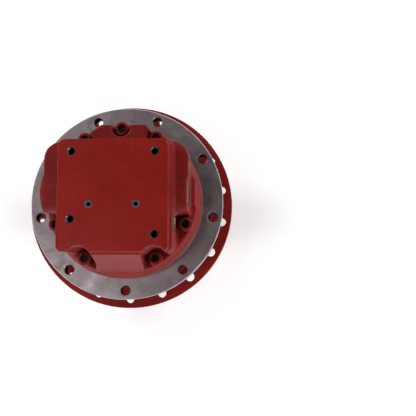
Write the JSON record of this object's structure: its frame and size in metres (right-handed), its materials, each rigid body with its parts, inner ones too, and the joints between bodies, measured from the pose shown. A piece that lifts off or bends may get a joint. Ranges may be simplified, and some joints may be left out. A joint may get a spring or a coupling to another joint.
{
  "type": "excavator final drive",
  "caption": "Mini-excavator track drive: axial piston motor, valve block with side ports, and two-stage planetary gearbox in a rotating sprocket hub.",
  "frame": {"origin": "centre of the frame flange's tapped hole circle, on the flange's machined face", "axes": "+Z along the drive's axis to the valve block, -Z to the hub cover; +X and -X to the two main ports; +Y to the pilot port side"},
  "size_m": [0.278, 0.278, 0.284],
  "materials": {
    "red_enamel": "semi-gloss enamel",
    "bare_iron": "machined and lightly oxidised",
    "painted_screw": "enamel over socket screws",
    "black_screw": "black oxide",
    "bearing_steel": "ground",
    "gear_steel": "ground and oiled",
    "shaft_steel": "ground",
    "spring_steel": "phosphated",
    "seal_iron": "lapped",
    "seal_rubber": "nitrile",
    "bronze": "turned bronze",
    "friction_lining": "sintered lining",
    "plug_steel": "zinc plated"
  },
  "bodies": {
    "spindle": {"bearing_inner_ring_front": "bearing_steel", "bearing_inner_ring_rear": "bearing_steel", "bearing_nut": "gear_steel", "brake_disc_springs": "spring_steel", "brake_plates": "gear_steel", "casing_o_ring": "seal_rubber", "counterbalance_plugs": "plug_steel", "counterbalance_springs": "spring_steel", "fixed_seal_ring": "seal_iron", "fixed_toric_ring": "seal_rubber", "front_shaft_bearing": "bearing_steel", "planet_2_clips": "spring_steel", "planet_2_needles": "bearing_steel", "planet_2_pins": "shaft_steel", "rear_shaft_bearing": "bearing_steel", "shaft_seal": "seal_rubber", "spindle_housing": "bare_iron", "swash_plate": "shaft_steel", "swash_seats": "bronze", "swash_shift_piston": "shaft_steel", "two_speed_plug": "plug_steel", "two_speed_spring": "spring_steel", "valve_block": "red_enamel", "valve_block_screws": "painted_screw", "valve_plate": "bronze"},
    "hub": {"bearing_outer_ring_front": "bearing_steel", "bearing_outer_ring_rear": "bearing_steel", "cover_o_ring": "seal_rubber", "cover_screws": "black_screw", "hub_casing": "red_enamel", "hub_cover": "red_enamel", "oil_plugs": "plug_steel", "ring_gear": "gear_steel", "rotating_seal_ring": "seal_iron", "rotating_toric_ring": "seal_rubber", "thrust_pad": "bronze"},
    "bearing_rollers": {"bearing_rollers_rear": "bearing_steel", "bearing_rollers_front": "bearing_steel"},
    "first_carrier": {"carrier_1": "gear_steel", "planet_1_pins": "shaft_steel", "planet_1_needles": "bearing_steel", "planet_1_clips": "spring_steel", "sun_gear_2": "gear_steel"},
    "motor_shaft": {"drive_shaft": "shaft_steel", "sun_gear_1": "gear_steel", "cylinder_block": "gear_steel", "pistons": "shaft_steel", "piston_shoes": "bronze", "shoe_retainer": "gear_steel", "ball_guide": "shaft_steel", "friction_discs": "friction_lining"},
    "brake_piston": {"brake_piston": "gear_steel"},
    "counterbalance_spool": {"counterbalance_spool": "shaft_steel"},
    "two_speed_spool": {"two_speed_spool": "shaft_steel"},
    "planet_1a": {"planet_1a": "gear_steel"},
    "planet_2a": {"planet_2a": "gear_steel"},
    "planet_1b": {"planet_1b": "gear_steel"},
    "planet_2b": {"planet_2b": "gear_steel"},
    "planet_1c": {"planet_1c": "gear_steel"},
    "planet_2c": {"planet_2c": "gear_steel"}
  },
  "joints": [
    {"name": "hub_spin", "type": "hinge", "parent": "spindle", "child": "hub", "pos_m": [0, 0, -0.046], "axis": [0, 0, 1], "continuous": true},
    {"name": "bearing_roller_spin", "type": "hinge", "parent": "spindle", "child": "bearing_rollers", "pos_m": [0, 0, -0.061], "axis": [0, 0, 1], "continuous": true},
    {"name": "carrier_1_spin", "type": "hinge", "parent": "spindle", "child": "first_carrier", "pos_m": [0, 0, -0.128], "axis": [0, 0, 1], "continuous": true},
    {"name": "shaft_spin", "type": "hinge", "parent": "spindle", "child": "motor_shaft", "pos_m": [0, 0, -0.06], "axis": [0, 0, 1], "continuous": true},
    {"name": "planet_1a_spin", "type": "hinge", "parent": "first_carrier", "child": "planet_1a", "pos_m": [0, 0.04875, -0.1405], "axis": [0, 0, 1], "continuous": true},
    {"name": "planet_2a_spin", "type": "hinge", "parent": "spindle", "child": "planet_2a", "pos_m": [0, 0.0525, -0.107], "axis": [0, 0, 1], "continuous": true},
    {"name": "planet_1b_spin", "type": "hinge", "parent": "first_carrier", "child": "planet_1b", "pos_m": [-0.04222, -0.02438, -0.1405], "axis": [0, 0, 1], "continuous": true},
    {"name": "planet_2b_spin", "type": "hinge", "parent": "spindle", "child": "planet_2b", "pos_m": [-0.04547, -0.02625, -0.107], "axis": [0, 0, 1], "continuous": true},
    {"name": "planet_1c_spin", "type": "hinge", "parent": "first_carrier", "child": "planet_1c", "pos_m": [0.04222, -0.02438, -0.1405], "axis": [0, 0, 1], "continuous": true},
    {"name": "planet_2c_spin", "type": "hinge", "parent": "spindle", "child": "planet_2c", "pos_m": [0.04547, -0.02625, -0.107], "axis": [0, 0, 1], "continuous": true},
    {"name": "brake_release", "type": "slide", "parent": "spindle", "child": "brake_piston", "axis": [0, 0, 1], "range_m": [0, 0.0018], "stiffness_N_per_m": 20000, "springref_m": -0.004, "deforming": ["brake_disc_springs"]},
    {"name": "counterbalance_slide", "type": "slide", "parent": "spindle", "child": "counterbalance_spool", "axis": [1, 0, 0], "range_m": [-0.006, 0.006], "stiffness_N_per_m": 4000, "deforming": ["counterbalance_springs"]},
    {"name": "two_speed_slide", "type": "slide", "parent": "spindle", "child": "two_speed_spool", "axis": [0, 1, 0], "range_m": [0, 0.005], "stiffness_N_per_m": 1500, "springref_m": -0.004, "deforming": ["two_speed_spring"]}
  ],
  "couplings": [
    {"joint": "bearing_roller_spin", "follows": "hub_spin", "ratio": 0.53932},
    {"joint": "carrier_1_spin", "follows": "hub_spin", "ratio": -3.6667},
    {"joint": "shaft_spin", "follows": "hub_spin", "ratio": -29.333},
    {"joint": "planet_1a_spin", "follows": "hub_spin", "ratio": 11.407},
    {"joint": "planet_2a_spin", "follows": "hub_spin", "ratio": 2.75},
    {"joint": "planet_1b_spin", "follows": "hub_spin", "ratio": 11.407},
    {"joint": "planet_2b_spin", "follows": "hub_spin", "ratio": 2.75},
    {"joint": "planet_1c_spin", "follows": "hub_spin", "ratio": 11.407},
    {"joint": "planet_2c_spin", "follows": "hub_spin", "ratio": 2.75}
  ]
}
